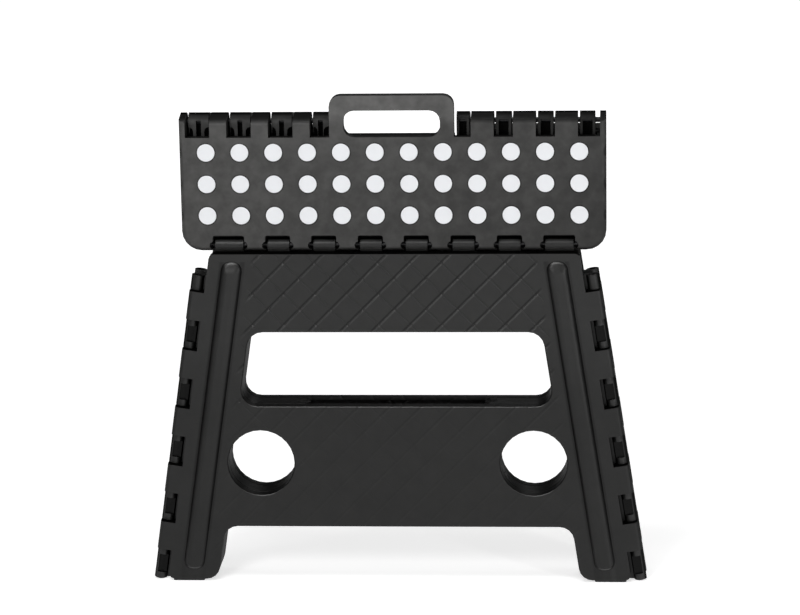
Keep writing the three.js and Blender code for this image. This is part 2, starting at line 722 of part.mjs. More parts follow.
// A round-cornered notch for a leg barrel, open at the platform's lower edge, with a round pocket
// at each side where the pin shows. Behind the axis it is only as wide as the barrel turns.
function barrelNotch({ x, width }) {
  const half = width / 2 + NOTCH_SIDE;
  const pockets = [-1, 1].map((end) => {
    const middle = x + end * (width / 2 + POCKET_SIDE);
    const z = PLATFORM_AXIS_Z + POCKET_RISE;
    return rod(point(middle, -THROUGH, z), point(middle, -HINGE_Y, z), POCKET_RADIUS);
  });
  const mouth = plate(
    [
      [x - half, PLATFORM_EDGE_Z - THROUGH, 0],
      [x + half, PLATFORM_EDGE_Z - THROUGH, 0],
      [x + half, NOTCH_TOP_Z, NOTCH_ROUND],
      [x - half, NOTCH_TOP_Z, NOTCH_ROUND],
    ],
    -THROUGH,
    -HINGE_Y,
  );
  const turn = rod(
    point(x - half, -HINGE_Y, PLATFORM_AXIS_Z),
    point(x + half, -HINGE_Y, PLATFORM_AXIS_Z),
    BARREL_RADIUS + NOTCH_CLEARANCE,
    FINGER_SIDES,
    true,
  );
  return joinAll([mouth, turn, ...pockets]);
}

const pinHalfLength = ({ width }) => width / 2 + POCKET_SIDE + POCKET_RADIUS + PIN_SEAT;

function barrelPin(barrel, radius, extra, bore) {
  const half = pinHalfLength(barrel) + extra;
  return rod(
    point(barrel.x - half, -HINGE_Y, PLATFORM_AXIS_Z),
    point(barrel.x + half, -HINGE_Y, PLATFORM_AXIS_Z),
    radius,
    PIN_SIDES,
    bore,
  );
}

function platformRibs() {
  const ribs = [];
  const top = FINGER_ROOT_Z;
  const bottom = NOTCH_TOP_Z;
  for (let i = 1; i < PLATFORM_RIB_COLUMNS; i++) {
    const x = -PLATFORM_HALF_WIDTH + (2 * PLATFORM_HALF_WIDTH * i) / PLATFORM_RIB_COLUMNS;
    ribs.push(block(x - RIB / 2, x + RIB / 2, -FACE_Y, INNER_Y - WALL, bottom, top));
  }
  const wide = PLATFORM_HALF_WIDTH;
  const z = (bottom + top) / 2;
  ribs.push(block(-wide, wide, -FACE_Y, INNER_Y - WALL, z - RIB / 2, z + RIB / 2));
  return joinAll(ribs);
}

// A platform half without its fingers: skin, flanges, ribs and the solid hinge rail.
function platformPanel() {
  const hollowOutline = [
    [-PLATFORM_HALF_WIDTH + WALL, NOTCH_TOP_Z + WALL, 0],
    [PLATFORM_HALF_WIDTH - WALL, NOTCH_TOP_Z + WALL, 0],
    [PLATFORM_HALF_WIDTH - WALL, FINGER_ROOT_Z - WALL, 0],
    [-PLATFORM_HALF_WIDTH + WALL, FINGER_ROOT_Z - WALL, 0],
  ];
  const hollow = plate(hollowOutline, -FACE_Y + SKIN, INNER_Y + WALL).subtract(platformRibs());
  const wide = PLATFORM_HALF_WIDTH + WALL;
  const railEnd = PLATFORM_HALF_WIDTH - PLATFORM_CORNER;
  const undercut = block(-wide, wide, -HINGE_Y, WALL, 0, PLATFORM_AXIS_Z + LAYER_GAP);
  const rail = rod(
    point(-railEnd, -HINGE_Y, PLATFORM_AXIS_Z),
    point(railEnd, -HINGE_Y, PLATFORM_AXIS_Z),
    RAIL_RADIUS,
  ).subtract(block(-wide, wide, -FACE_Y, FACE_Y, 0, PLATFORM_EDGE_Z));
  return plate(platformOutline(FINGER_ROOT_Z), -FACE_Y, INNER_Y)
    .subtract(hollow)
    .subtract(undercut)
    .add(rail)
    .subtract(bothSides(joinAll(LEG_BARRELS.map(barrelNotch))))
    .subtract(
      bothSides(
        joinAll(
          LEG_BARRELS.map((barrel) =>
            barrelPin(barrel, LEG_PIN + PIN_CLEARANCE, PIN_CLEARANCE, true),
          ),
        ),
      ),
    );
}

function centrePinRod(radius, from, to, bore) {
  return rod(point(from, 0, CENTRE_AXIS_Z), point(to, 0, CENTRE_AXIS_Z), radius, PIN_SIDES, bore);
}

const centreBore = () => centrePinRod(CENTRE_PIN + PIN_CLEARANCE, -THROUGH * 5, THROUGH * 5, true);

function platformFront() {
  const side = (front, back, wide) =>
    fingerSide(frontSpans(front), backSpans(front, back), wide, fingerGap(front, back));
  const right = side(FRONT_FINGERS.wide, BACK_FINGERS.narrow, true);
  const left = side(FRONT_FINGERS.narrow, BACK_FINGERS.wide, false);
  return withFingers(platformPanel(), right, left)
    .add(handle())
    .subtract(centreBore())
    .intersect(platformEnvelope());
}

// Built in front like the other half; its group turns it to the back.
function platformBack() {
  const side = (front, back, wide) =>
    fingerSide(backSpans(front, back), frontSpans(front), wide, fingerGap(front, back));
  const right = side(FRONT_FINGERS.narrow, BACK_FINGERS.wide, true);
  const left = side(FRONT_FINGERS.wide, BACK_FINGERS.narrow, false);
  const half = HANDLE_HALF_WIDTH + HANDLE_CLEARANCE;
  const bottom = CENTRE_AXIS_Z - HANDLE_TOP - HANDLE_CLEARANCE;
  const cutOut = [
    [-half, bottom, HANDLE_CORNER],
    [half, bottom, HANDLE_CORNER],
    [half, CENTRE_AXIS_Z, 0],
    [-half, CENTRE_AXIS_Z, 0],
  ];
  const flange = plate(inset(cutOut, -WALL), -FACE_Y, INNER_Y);
  const skin = plate(platformOutline(CENTRE_AXIS_Z - BACK_ROOT), -FACE_Y, -FACE_Y + SKIN);
  const panel = platformPanel()
    .add(flange.intersect(plate(platformOutline(FINGER_ROOT_Z), -FACE_Y, INNER_Y)))
    .add(skin.subtract(plate(platformOutline(FINGER_ROOT_Z - WALL), -THROUGH, THROUGH)));
  return withFingers(panel, right, left)
    .subtract(plate(cutOut, -THROUGH, THROUGH))
    .subtract(centreBore())
    .intersect(platformEnvelope());
}

// ---- Foot pad ----
function footPad() {
  const inner = footInner(0) + FOOT_CORNER;
  const outer = outerEdge(PANEL_EDGE, 0) - LEG_CORNER;
  const half = (LEG_BACK_Y + FACE_Y) / 2 - 1;
  const middle = -FACE_Y + half + 1;
  const shape = rounded([
    [inner, middle - half, half / 2],
    [outer, middle - half, half / 2],
    [outer, middle + half, half / 2],
    [inner, middle + half, half / 2],
  ]);
  const geometry = new THREE.ExtrudeGeometry(shape, { depth: PAD_HEIGHT, bevelEnabled: false });
  return solidOf(geometry);
}

// ---- Assembly ----
const plasticLight = new THREE.MeshStandardMaterial({ color: 0x3c3d40, roughness: 0.55, metalness: 0 });
const plasticDark = new THREE.MeshStandardMaterial({ color: 0x2f3033, roughness: 0.5, metalness: 0 });
const pinPlastic = new THREE.MeshStandardMaterial({ color: 0x1b1c1e, roughness: 0.4, metalness: 0 });
const rubber = new THREE.MeshStandardMaterial({ color: 0x202124, roughness: 0.85, metalness: 0 });

function piece(parent, name, solid, material) {
  const mesh = new THREE.Mesh(geometryOf(solid), material);
  mesh.name = name;
  parent.add(mesh);
}

const stool = new THREE.Group();
const frontGroup = new THREE.Group();
const backGroup = new THREE.Group();
backGroup.rotation.z = Math.PI;
stool.add(frontGroup, backGroup);

const leg = legShell();
const sideHalves = [sideShell(0), sideShell(1)];
const sidePin = rod(
  hingePoint(SIDE_LOW + 1, 0, -HINGE_Y),
  hingePoint(SIDE_TOP - 1, 0, -HINGE_Y),
  SIDE_PIN,
  PIN_SIDES,
);
const midPins = midBar(MID_PIN, -1, false);
const pad = footPad();

piece(frontGroup, "platform_front", platformFront(), plasticLight);
piece(backGroup, "platform_back", platformBack(), plasticLight);

for (const [group, end] of [
  [frontGroup, "front"],
  [backGroup, "back"],
]) {
  piece(group, "leg_" + end, leg, plasticDark);
  for (const hand of [1, -1]) {
    const flip = (solid) => (hand > 0 ? solid : mirrored(solid));
    const seenRight = (hand > 0) === (end === "front");
    const side = seenRight ? "right" : "left";
    const half = sideHalves[seenRight === (end === "front") ? 1 : 0];
    piece(group, "side_" + side + "_" + end, flip(half), plasticDark);
    piece(group, "side_pin_" + side + "_" + end, flip(sidePin), pinPlastic);
    piece(group, "foot_pad_" + side + "_" + end, flip(pad), rubber);
    LEG_BARRELS.forEach((barrel, i) => {
      const pin = barrelPin(barrel, LEG_PIN, 0, false);
      piece(group, "platform_pin_" + side + "_" + end + "_" + (i + 1), flip(pin), pinPlastic);
    });
  }
}

for (const [side, hand] of [
  ["right", 1],
  ["left", -1],
]) {
  const flip = (solid) => (hand > 0 ? solid : mirrored(solid));
  const centre = centrePinRod(
    CENTRE_PIN,
    HANDLE_HALF_WIDTH + HANDLE_CLEARANCE + 1,
    PLATFORM_HALF_WIDTH - 1,
    false,
  );
  piece(stool, "centre_pin_" + side, flip(centre), pinPlastic);
  piece(stool, "mid_pin_" + side + "_upper", flip(midPins[0]), pinPlastic);
  piece(stool, "mid_pin_" + side + "_lower", flip(midPins[1]), pinPlastic);
}

export default stool;
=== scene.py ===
"""Looks of the folding step stool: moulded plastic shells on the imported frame, soft grip dots, studio light."""

import math

import bmesh
import bpy
from mathutils import Matrix, Vector


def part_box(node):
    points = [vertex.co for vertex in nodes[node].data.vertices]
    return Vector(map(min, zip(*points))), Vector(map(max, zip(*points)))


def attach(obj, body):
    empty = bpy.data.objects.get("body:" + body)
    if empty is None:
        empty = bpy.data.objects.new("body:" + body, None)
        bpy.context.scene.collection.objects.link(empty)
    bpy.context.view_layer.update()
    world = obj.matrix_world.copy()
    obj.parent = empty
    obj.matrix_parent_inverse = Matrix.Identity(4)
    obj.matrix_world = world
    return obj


MM = 0.001
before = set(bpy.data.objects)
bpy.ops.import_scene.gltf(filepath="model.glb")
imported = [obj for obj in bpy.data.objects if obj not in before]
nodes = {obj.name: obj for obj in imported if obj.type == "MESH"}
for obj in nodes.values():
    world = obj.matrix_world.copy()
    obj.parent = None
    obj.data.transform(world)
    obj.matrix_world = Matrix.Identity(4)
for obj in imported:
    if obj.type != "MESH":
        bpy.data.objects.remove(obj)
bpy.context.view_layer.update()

# ---- Camera ----
VIEW_AZIMUTH = math.radians(3.854)
VIEW_ELEVATION = math.radians(13.466)
VIEW_ROLL = math.radians(-0.951)
VIEW_DISTANCE = 3.0486
VIEW_LENS = 147.546
VIEW_SENSOR = 36
VIEW_TARGET = Vector((0.00524, -0.022, 0.26742))


def make_camera():
    data = bpy.data.cameras.new("camera")
    data.sensor_width = VIEW_SENSOR
    data.lens = VIEW_LENS
    camera = bpy.data.objects.new("camera", data)
    bpy.context.scene.collection.objects.link(camera)
    back = Vector((
        math.sin(VIEW_AZIMUTH) * math.cos(VIEW_ELEVATION),
        -math.cos(VIEW_AZIMUTH) * math.cos(VIEW_ELEVATION),
        math.sin(VIEW_ELEVATION),
    ))
    right = Vector((math.cos(VIEW_AZIMUTH), math.sin(VIEW_AZIMUTH), 0))
    up = back.cross(right)
    rolled_right = right * math.cos(VIEW_ROLL) + up * math.sin(VIEW_ROLL)
    rolled_up = up * math.cos(VIEW_ROLL) - right * math.sin(VIEW_ROLL)
    turn = Matrix((rolled_right, rolled_up, back)).transposed().to_4x4()
    camera.matrix_world = Matrix.Translation(VIEW_TARGET + back * VIEW_DISTANCE) @ turn
    bpy.context.scene.camera = camera


# ---- Shader trees ----
class Nodes:
    """Short names for building a shader tree. A ramp runs from one end of its span and levels to the other."""

    def __init__(self, material):
        material.use_nodes = True
        self.tree = material.node_tree
        self.tree.nodes.clear()

    def add(self, kind, **settings):
        node = self.tree.nodes.new(kind)
        for key, value in settings.items():
            setattr(node, key, value)
        return node

    def put(self, socket, value):
        if isinstance(value, bpy.types.NodeSocket):
            self.tree.links.new(value, socket)
        else:
            socket.default_value = value

    def math(self, operation, *values):
        node = self.add("ShaderNodeMath", operation=operation)
        for i, value in enumerate(values):
            self.put(node.inputs[i], value)
        return node.outputs[0]

    def noise(self, place, scale, detail, roughness=0.5):
        node = self.add("ShaderNodeTexNoise")
        self.put(node.inputs["Vector"], place)
        node.inputs["Scale"].default_value = scale
        node.inputs["Detail"].default_value = detail
        node.inputs["Roughness"].default_value = roughness
        return node.outputs["Fac"]

    def ramp(self, value, span, levels, smooth=False):
        node = self.add("ShaderNodeMapRange")
        if smooth:
            node.interpolation_type = "SMOOTHSTEP"
        self.put(node.inputs["Value"], value)
        for name, number in zip(("From Min", "From Max", "To Min", "To Max"), (*span, *levels)):
            node.inputs[name].default_value = number
        return node.outputs["Result"]

    def bump(self, height, distance, normal=None):
        node = self.add("ShaderNodeBump")
        node.inputs["Distance"].default_value = distance
        self.put(node.inputs["Height"], height)
        if normal is not None:
            self.put(node.inputs["Normal"], normal)
        return node.outputs["Normal"]

    def place(self):
        return self.add("ShaderNodeTexCoord").outputs["Object"]

    def axes(self, vector):
        """The X, Y and Z of a vector."""
        node = self.add("ShaderNodeSeparateXYZ")
        self.put(node.inputs[0], vector)
        return node.outputs["X"], node.outputs["Y"], node.outputs["Z"]

    def normal_axes(self):
        """The X, Y and Z of the surface's direction on its own piece."""
        return self.axes(self.add("ShaderNodeTexCoord").outputs["Normal"])

    def plastic(self, colour, level, roughness, normal):
        """A Principled surface whose colour is scaled by a level."""
        output = self.add("ShaderNodeOutputMaterial")
        shader = self.add("ShaderNodeBsdfPrincipled")
        self.put(output.inputs["Surface"], shader.outputs[0])
        tint = self.add("ShaderNodeCombineXYZ")
        for i, channel in enumerate(colour):
            self.put(tint.inputs[i], self.math("MULTIPLY", level, channel))
        self.put(shader.inputs["Base Color"], tint.outputs[0])
        self.put(shader.inputs["Roughness"], roughness)
        self.put(shader.inputs["Normal"], normal)
        return shader


# Spans and levels of a ramp
UNIT = (0, 1)
FALL = (1, 0)

# ---- Studio ----
WORLD_LEVEL = 0.08
FLOOR_REACH = 9
FLOOR_PAPER = 0.66  # grey of the paper, as the lamps light it
LIFT_SPAN = (0.6, 2.6)  # distances over which the paper grows white by itself
LIFT_LEVEL = (0.62, 0.92)
FLAG_SPAN = (0.3, 0.9)  # |x| over which mirrors lose sight of that white
FLAG_LEVEL = (1, 0.1)
LAMPS = [  # name, place, aim, width, height, watts
    ("overhead", (-0.3, -0.8, 2.6), (0, 0, 0.3), 1.4, 0.4, 26),
    ("key", (-0.9, -2.2, 1.6), (0, 0, 0.25), 0.8, 0.6, 27),
    ("front", (0.2, -3.0, 0.6), (0, 0, 0.25), 1.6, 1.0, 8),
    ("right_strip", (2.1, -2.1, 0.7), (0, 0, 0.3), 0.16, 1.5, 28),
    ("right_side", (2.5, 0.3, 1.1), (0, 0, 0.25), 1.0, 1.0, 12),
    ("left_side", (-2.5, 0.6, 1.1), (0, 0, 0.25), 1.0, 1.0, 7),
    ("back_soft", (0.6, 2.5, 2.0), (0, 0, 0.25), 1.4, 1.0, 20),
]


def soft_box(name, place, aim, width, height, power):
    data = bpy.data.lights.new(name, "AREA")
    data.shape = "RECTANGLE"
    data.size = width
    data.size_y = height
    data.energy = power
    lamp = bpy.data.objects.new(name, data)
    bpy.context.scene.collection.objects.link(lamp)
    direction = Vector(aim) - Vector(place)
    turn = direction.to_track_quat("-Z", "Y").to_matrix().to_4x4()
    lamp.matrix_world = Matrix.Translation(place) @ turn


def make_world():
    world = bpy.data.worlds.new("studio")
    bpy.context.scene.world = world
    world.use_nodes = True
    fill = world.node_tree.nodes["Background"]
    fill.inputs["Color"].default_value = (1, 1, 1, 1)
    fill.inputs["Strength"].default_value = WORLD_LEVEL


def seen_directly(n, x):
    """1 for camera, glossy and transmission rays, which see the white backdrop.

    Mirrors see less of its sides.
    """
    path = n.add("ShaderNodeLightPath")
    mirror = n.math("MAXIMUM", path.outputs["Is Glossy Ray"], path.outputs["Is Transmission Ray"])
    flag = n.ramp(n.math("ABSOLUTE", x), FLAG_SPAN, FLAG_LEVEL, smooth=True)
    return n.math("MAXIMUM", path.outputs["Is Camera Ray"], n.math("MULTIPLY", mirror, flag))


def floor_paper():
    material = bpy.data.materials.new("floor_paper")
    n = Nodes(material)
    output = n.add("ShaderNodeOutputMaterial")
    paper = n.add("ShaderNodeBsdfDiffuse")
    paper.inputs["Color"].default_value = (FLOOR_PAPER, FLOOR_PAPER, FLOOR_PAPER, 1)
    place = n.place()
    span = n.add("ShaderNodeVectorMath", operation="LENGTH")
    n.put(span.inputs[0], place)
    x, _, _ = n.axes(place)
    level = n.ramp(span.outputs["Value"], LIFT_SPAN, LIFT_LEVEL, smooth=True)
    lift = n.add("ShaderNodeEmission")
    n.put(lift.inputs["Strength"], n.math("MULTIPLY", level, seen_directly(n, x)))
    both = n.add("ShaderNodeAddShader")
    n.put(both.inputs[0], paper.outputs[0])
    n.put(both.inputs[1], lift.outputs[0])
    n.put(output.inputs["Surface"], both.outputs[0])
    return material


def make_floor():
    """Pale paper that grows white away from the stool, where only the camera and mirrors see it."""
    mesh = bpy.data.meshes.new("floor")
    reach = FLOOR_REACH
    corners = [(-reach, -reach, 0), (reach, -reach, 0), (reach, reach, 0), (-reach, reach, 0)]
    mesh.from_pydata(corners, [], [(0, 1, 2, 3)])
    floor = bpy.data.objects.new("floor", mesh)
    bpy.context.scene.collection.objects.link(floor)
    mesh.materials.append(floor_paper())


# ---- Plastic and rubber ----
NOISE_SPAN = (0.3, 0.7)  # the middle range of a noise, where most of it lies
CLOUD_SCALE = 9
CLOUD_LEVEL = (0.84, 1.16)
STREAK_SCALE = 60
STREAK_ROUGHNESS = 0.6
STREAK_LEVEL = (-0.22, 0.22)
STREAK_SATIN = (-0.03, 0.03)
SATIN_LESS = 0.04
SATIN_MORE = 0.05
FACE_SHINE = 0.32
WALL_SHINE = 0.03
WALL_ROUGHER = 0.12
WALL_TURN = (0.35, 0.8)  # how squarely a surface faces Y, from a wall to a face
GRAIN_SCALE = 1500
GRAIN_DEPTH = 0.06 * MM
RUBBER_CLOUDS = 40
RUBBER_LEVEL = (0.965, 1.0)
RUBBER_GRAIN_DEPTH = 0.04 * MM


def facing(n):
    """How squarely a surface looks along Y, as the textured outer faces do; walls inside the mould don't."""
    _, y, _ = n.normal_axes()
    return n.math("ABSOLUTE", y)


def moulded(name, colour, roughness, wall_painted_shade, turn=WALL_TURN, sinks=None, tones=()):
    """Satin moulded polypropylene: fine spark-eroded grain, faint flow clouds, and sink marks over its ribs.
    Walls and rims that turn away from Y get painted shade: a darker colour and less shine.
    """
    material = bpy.data.materials.new(name)
    n = Nodes(material)
    place = n.place()
    wall = n.ramp(facing(n), turn, FALL, smooth=True)
    clouds = n.noise(place, CLOUD_SCALE, 3)
    streaks = n.noise(place, STREAK_SCALE, 4, STREAK_ROUGHNESS)
    level = n.ramp(clouds, NOISE_SPAN, CLOUD_LEVEL)
    level = n.math("ADD", level, n.ramp(streaks, NOISE_SPAN, STREAK_LEVEL))
    # Painted shade: walls and rims are darkened by how far they turn away from Y.
    level = n.math("MULTIPLY", level, n.ramp(wall, UNIT, (1, wall_painted_shade)))
    shine = n.ramp(wall, UNIT, (FACE_SHINE, WALL_SHINE))
    # Each tone scales colour and shine; most are painted light and shade, and the platform's mottle is random
    # tone.
    for tone in tones:
        factor = tone(n, place)
        level = n.math("MULTIPLY", level, factor)
        shine = n.math("MULTIPLY", shine, factor)
    satin = n.ramp(clouds, NOISE_SPAN, (roughness - SATIN_LESS, roughness + SATIN_MORE))
    satin = n.math("ADD", satin, n.ramp(streaks, NOISE_SPAN, STREAK_SATIN))
    satin = n.math("MULTIPLY_ADD", wall, WALL_ROUGHER, satin)
    grain = n.bump(n.noise(place, GRAIN_SCALE, 2), GRAIN_DEPTH)
    shader = n.plastic(colour, level, satin, sinks(n, place, grain) if sinks else grain)
    n.put(shader.inputs["Specular IOR Level"], shine)
    return material


def soft_rubber(name, colour, roughness, grain_scale):
    material = bpy.data.materials.new(name)
    n = Nodes(material)
    place = n.place()
    clouds = n.noise(place, RUBBER_CLOUDS, 3)
    level = n.ramp(clouds, NOISE_SPAN, RUBBER_LEVEL)
    matt = n.ramp(clouds, NOISE_SPAN, (roughness - SATIN_LESS, roughness + SATIN_LESS))
    n.plastic(colour, level, matt, n.bump(n.noise(place, grain_scale, 2), RUBBER_GRAIN_DEPTH))
    return material


# ---- Leg panels ----
LEAN = 0.152  # how far the side edges lean in for each unit of height
BEAD_MIDDLE = 197.6 * MM  # middle line of a raised bead, as leaning() measures it
BEAD_TOP = 311 * MM
BEAD_CROWN = (2.5 * MM, 12 * MM)
BEAD_CROWN_END = (BEAD_TOP - 12 * MM, BEAD_TOP - 2 * MM)
BEAD_CROWN_HEIGHT = 2.2 * MM
LEG_TOP = 317.5 * MM  # the barrels above it have no sink marks
SINK_PITCH = 29.5 * MM
SINK_WIDTH = 2.4 * MM
SINK_DEPTH = 0.6 * MM
FALLING_DEPTH = 1.1
PANEL_EDGE = (0.176, 0.182)  # the sink marks stop beside the beads, as leaning() measures it
PANEL_FADE = (0.12, 0.27)
PANEL_FADE_LEVEL = (0.14, 1)
# Painted light and shade along the rising sink marks
SHEEN_SHIFT = 1.5 * MM
SHEEN_WIDTH = 1.8 * MM
SHEEN_PALE = 0.5
SHEEN_DARK = -0.42
LEG_PILLOW_SCALE = 30
LEG_PILLOW_HEIGHT = 1.2 * MM
# Painted shade lower on the leg
LEG_FADE = (0.16, 0.26)
LEG_FADE_LEVEL = (0.84, 1)


def leaning(n, x, z):
    """Distance from the middle, the same all along a slanted edge."""
    return n.math("MULTIPLY_ADD", z, LEAN, n.math("ABSOLUTE", x))


def off_bead(n, reach):
    """Distance from the middle line of the nearer bead."""
    return n.math("ABSOLUTE", n.math("SUBTRACT", reach, BEAD_MIDDLE))


def sink_lines(n, value, width):
    """A smooth ridge of height 1 along each line where value is a multiple of the pitch."""
    return n.ramp(n.math("PINGPONG", value, SINK_PITCH / 2), (0, width), FALL, smooth=True)


def quilt_mask(n, x, z):
    """The sink marks show between the beads, and less and less below the window."""
    fade = n.ramp(z, PANEL_FADE, PANEL_FADE_LEVEL, smooth=True)
    panel = n.math("MULTIPLY", fade, n.ramp(leaning(n, x, z), PANEL_EDGE, FALL, smooth=True))
    return n.math("MULTIPLY", panel, n.math("LESS_THAN", z, LEG_TOP))


def quilted(n, place, normal):
    """Sink marks of the crossed ribs behind a leg's face, and the crowned tops of its beads."""
    x, _, z = n.axes(place)
    rising = sink_lines(n, n.math("SUBTRACT", x, z), SINK_WIDTH)
    falling = sink_lines(n, n.math("ADD", x, z), SINK_WIDTH)
    depth = n.math("ADD", rising, n.math("MULTIPLY", falling, FALLING_DEPTH))
    depth = n.math("MULTIPLY", depth, n.math("MULTIPLY", quilt_mask(n, x, z), -1))
    pillow = n.bump(n.noise(place, LEG_PILLOW_SCALE, 2), LEG_PILLOW_HEIGHT, normal)
    crown = n.ramp(off_bead(n, leaning(n, x, z)), BEAD_CROWN, FALL, smooth=True)
    crown = n.math("MULTIPLY", crown, n.ramp(z, BEAD_CROWN_END, FALL, smooth=True))
    return n.bump(depth, SINK_DEPTH, n.bump(crown, BEAD_CROWN_HEIGHT, pillow))


def sink_mark_painted_light(n, place):
    """Painted light and shade: each rising sink mark is paler along its lower side and darker along its upper
    one, as if lit from the upper left.
    """
    x, _, z = n.axes(place)
    across = n.math("SUBTRACT", x, z)
    pale = sink_lines(n, n.math("SUBTRACT", across, SHEEN_SHIFT), SHEEN_WIDTH)
    dark = sink_lines(n, n.math("ADD", across, SHEEN_SHIFT), SHEEN_WIDTH)
    edge = n.math("MULTIPLY_ADD", dark, SHEEN_DARK, n.math("MULTIPLY", pale, SHEEN_PALE))
    return n.math("MULTIPLY_ADD", edge, quilt_mask(n, x, z), 1)


def leg_painted_shade(n, place):
    """Painted shade: the leg is a little darker below its window."""
    _, _, z = n.axes(place)
    return n.ramp(z, LEG_FADE, LEG_FADE_LEVEL, smooth=True)


# Painted shade on the sides of beads and openings
FLANK_SLOPE = (0.2, 0.55)  # |X| of the surface's direction
FLANK_SHADE = (0, -0.3)
FLANK_FACING = (0.1, 0.5)  # walls that look straight sideways keep most of their light
FLANK_FACING_LEVEL = (0.2, 1)
INBOARD = BEAD_MIDDLE + 15 * MM
BEAD_SOFT_RISE = (5 * MM, 9.5 * MM)
BEAD_SOFT_FALL = (10.5 * MM, 13 * MM)
BEAD_SOFT_SHADE = (-0.28, 0)
FOOT_FADE = (0.01, 0.07)
FOOT_FADE_LEVEL = (0.25, 1)
DARKEST = -0.5


def flank_painted_shade(n, place):
    """Painted shade: the sides of beads and openings, and a soft band beside each bead, are darkened, as they
    gather little light.
    """
    slope, _, _ = n.normal_axes()
    dark = n.ramp(n.math("ABSOLUTE", slope), FLANK_SLOPE, FLANK_SHADE, smooth=True)
    dark = n.math("MULTIPLY", dark, n.ramp(facing(n), FLANK_FACING, FLANK_FACING_LEVEL))
    x, _, z = n.axes(place)
    reach = leaning(n, x, z)
    dark = n.math("MULTIPLY", dark, n.math("LESS_THAN", reach, INBOARD))
    apart = off_bead(n, reach)
    soft = n.ramp(apart, BEAD_SOFT_FALL, BEAD_SOFT_SHADE, smooth=True)
    soft = n.math("MULTIPLY", n.ramp(apart, BEAD_SOFT_RISE, UNIT, smooth=True), soft)
    soft = n.math("MULTIPLY", soft, n.math("LESS_THAN", z, BEAD_TOP))
    dark = n.math("MULTIPLY", n.math("ADD", dark, soft), n.ramp(z, FOOT_FADE, FOOT_FADE_LEVEL))
    return n.math("ADD", n.math("MAXIMUM", dark, DARKEST), 1)


# ---- Painted highlight and shade, and a bump, that legs and side halves share ----
LIP_SLOPE = (0.28, 0.46)  # |Y times Z| of the surface's direction, highest on a rounded lip
# Painted highlight on lips and edges
EDGE_HIGHLIGHT = 2.7
# Painted shade on the pocket floors
POCKET_FLOOR = (15 * MM, 15.8 * MM)
POCKET_MOUTH = (11.2 * MM, 11.6 * MM)
CAVITY_SHADE = 0.32
SIDE_PILLOW_SCALE = 34
SIDE_PILLOW_HEIGHT = 0.9 * MM


def edge_painted_highlight(n, place):
    """Painted highlight: lips and edges that turn up or down are made paler and shinier, where the light from
    above catches them.
    """
    _, y, z = n.normal_axes()
    slope = n.math("ABSOLUTE", n.math("MULTIPLY", y, z))
    return n.ramp(slope, LIP_SLOPE, (1, EDGE_HIGHLIGHT), smooth=True)


def pockets(n, place):
    """Painted shade: the floors of the pockets in the side knuckles are darkened, as they gather little light."""
    _, y, _ = n.axes(place)
    depth = n.math("ABSOLUTE", y)
    below = n.ramp(depth, POCKET_FLOOR, (CAVITY_SHADE, 1), smooth=True)
    above = n.ramp(depth, POCKET_MOUTH, FALL)
    return n.math("MAXIMUM", below, above)


def pillowed(n, place, normal):
    """A side half's face sinks in a little between its ribs."""
    return n.bump(n.noise(place, SIDE_PILLOW_SCALE, 2), SIDE_PILLOW_HEIGHT, normal)


# ---- Platform face ----
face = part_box("platform_front")
FACE_Y = face[0].y
DOT_COLUMNS = 12
DOT_ROWS = 3
DOT_PITCH_X = 31.3 * MM
DOT_PITCH_Z = 29.65 * MM
DOT_MIDDLE_Z = 384.6 * MM
DOT_RADIUS = 8.2 * MM
DOT_HEIGHT = 0.5 * MM
DOT_SINK = 0.3 * MM
DOT_SIDES = 48
DOT_EDGE_STEPS = 4
HANDLE_HALF_WIDTH = 58 * MM

# Painted light and shade across and up the platform face
PAINTED_LIGHT_ACROSS = (-0.2, 0.2)
PAINTED_LIGHT_ACROSS_LEVEL = (1.14, 0.76)
PAINTED_LIGHT_UP = (0.33, 0.43)
PAINTED_LIGHT_UP_LEVEL = (0.88, 1.1)
MOTTLE_SCALE = 110
MOTTLE_SPAN = (0.35, 0.65)
MOTTLE_LEVEL = (0.9, 1.1)
# Painted shade round each grip dot
RING_WIDTH = 1.8 * MM
RING_SHADE = (-0.5, 0)
# Painted shade on the knuckles seen through the notches
SLOT_DEPTH = (2.5 * MM, 6 * MM)
SLOT_LEVEL = (0.15, 1)
BACK_DEPTH = (11 * MM, 19 * MM)
BACK_LEVEL = (0.55, 1)
# Painted shade on rims that turn up or down
RIM_SLOPE = (0.12, 0.7)
RIM_LEVEL = (1, 0.4)
HANDLE_RISE = (0.436, 0.45)
HANDLE_PALE_LEVEL = (0, 0.55)
BOW_ACROSS = -0.13
BOW_UP = -0.35
PLATFORM_PILLOW_SCALE = 26
PLATFORM_PILLOW_HEIGHT = 0.9 * MM


def platform_painted_light_and_mottle(n, place):
    """Painted light and shade: the platform is paler towards its top left and darker towards its bottom right. It
    is also mottled where it cooled unevenly.
    """
    x, _, z = n.axes(place)
    across = n.ramp(x, PAINTED_LIGHT_ACROSS, PAINTED_LIGHT_ACROSS_LEVEL)
    up = n.ramp(z, PAINTED_LIGHT_UP, PAINTED_LIGHT_UP_LEVEL)
    mottle = n.ramp(n.noise(place, MOTTLE_SCALE, 2), MOTTLE_SPAN, MOTTLE_LEVEL)
    return n.math("MULTIPLY", mottle, n.math("MULTIPLY", across, up))


